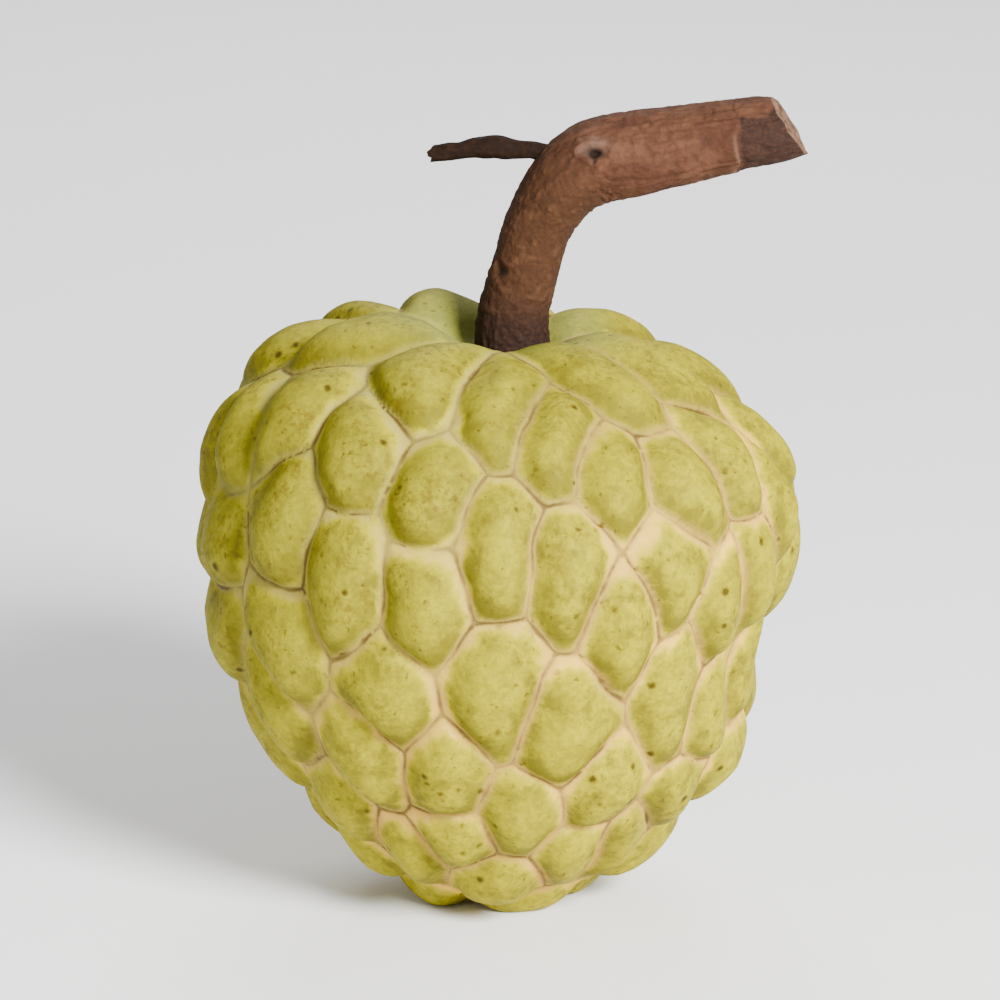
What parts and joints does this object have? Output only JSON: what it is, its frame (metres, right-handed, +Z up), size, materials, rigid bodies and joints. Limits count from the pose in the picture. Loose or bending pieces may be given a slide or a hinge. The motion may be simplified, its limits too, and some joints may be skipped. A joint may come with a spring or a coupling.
{
  "type": "custard apple",
  "caption": "Whole ripe custard apple with a knobbly yellow-green skin of rounded carpels, standing on its blossom end, with its bent brown stalk and a dry side twig.",
  "frame": {"origin": "centre of the small flat spot at the blossom end that the fruit stands on", "axes": "+Z up along the fruit's height, +X to the side that the stalk's cut end points to, +Y away from the viewer"},
  "size_m": [0.079, 0.0778, 0.1067],
  "materials": {
    "skin": "matte waxy yellow-green skin, cream between the carpels",
    "bark": "rough reddish-brown bark"
  },
  "bodies": {
    "root": {"fruit": "skin", "stalk": "bark"}
  },
  "joints": []
}
